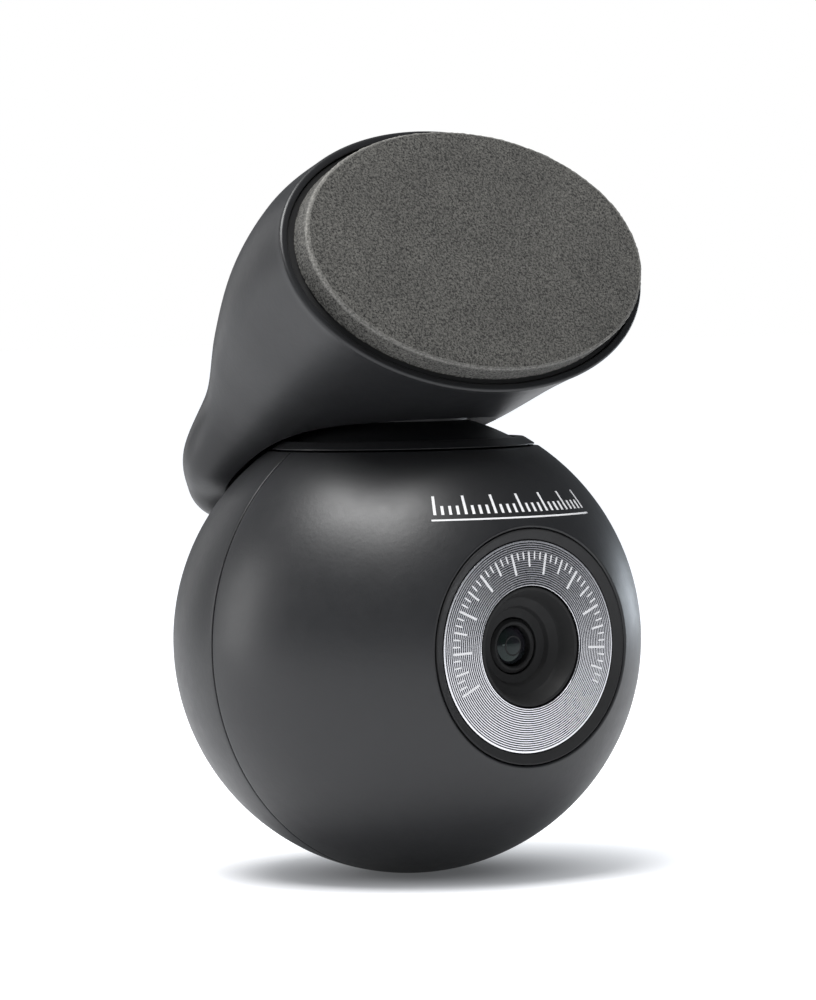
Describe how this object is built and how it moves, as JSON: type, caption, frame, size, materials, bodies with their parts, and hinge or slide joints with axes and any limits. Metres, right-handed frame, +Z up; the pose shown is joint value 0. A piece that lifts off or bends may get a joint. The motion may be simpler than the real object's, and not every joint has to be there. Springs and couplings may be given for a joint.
{
  "type": "dash camera",
  "caption": "Ball-shaped camera for a car's rear window, hanging under a slanted tubular mount with an adhesive foam pad; the ball pans and tilts.",
  "frame": {"origin": "centre of the foam pad's outer face, where it meets the window glass", "axes": "+Z up along the pan axis, -Y towards what the camera looks at, +X along the tilt axis, to the right of someone facing the lens"},
  "size_m": [0.045, 0.042, 0.0711],
  "materials": {
    "satin_black": "satin, very fine texture",
    "gloss_black": "semi-gloss",
    "foam": "matte foam tape",
    "turned_metal": "finely turned, dark anodised",
    "steel": "plain",
    "board_green": "solder resist",
    "chip_black": "moulded",
    "lens_glass": "coated",
    "nylon": "moulded",
    "wire": "matte sleeve"
  },
  "bodies": {
    "mount": {"mount_shell": "satin_black", "pad_plate": "gloss_black", "foam_pad": "foam", "socket_bezel": "gloss_black", "cable_socket": "steel", "socket_tongue": "nylon", "socket_board": "board_green", "socket_screw_left": "steel", "socket_screw_right": "steel", "mount_lead": "wire", "wave_washer": "steel"},
    "swivel": {"dome_cap": "satin_black", "retaining_clip": "steel", "yoke_hoop": "steel", "hoop_screw_left": "steel", "hoop_screw_right": "steel"},
    "ball": {"front_shell": "satin_black", "rear_shell": "satin_black", "top_ring": "satin_black", "lens_bezel": "gloss_black", "trim_ring": "turned_metal", "lens_hood": "gloss_black", "lens_barrel": "gloss_black", "front_lens": "lens_glass", "rear_lens": "lens_glass", "ir_filter": "lens_glass", "lens_holder": "gloss_black", "image_sensor": "chip_black", "sensor_board": "board_green", "lens_screw_left": "steel", "lens_screw_right": "steel", "inner_frame": "nylon", "frame_screw_left_lower": "steel", "frame_screw_left_upper": "steel", "frame_screw_right_lower": "steel", "frame_screw_right_upper": "steel", "main_board": "board_green", "image_processor": "chip_black", "board_connector": "nylon", "board_screw_left": "steel", "board_screw_right": "steel", "trunnion_pin_left": "steel", "trunnion_pin_right": "steel", "friction_washer_left": "nylon", "friction_washer_right": "nylon", "camera_lead": "wire"}
  },
  "joints": [
    {"name": "pan", "type": "hinge", "parent": "mount", "child": "swivel", "pos_m": [0, 0.01262, -0.03726], "axis": [0, 0, 1], "range_deg": [-90, 90]},
    {"name": "tilt", "type": "hinge", "parent": "swivel", "child": "ball", "pos_m": [0, 0.01262, -0.03726], "axis": [1, 0, 0], "range_deg": [-12, 12]}
  ]
}
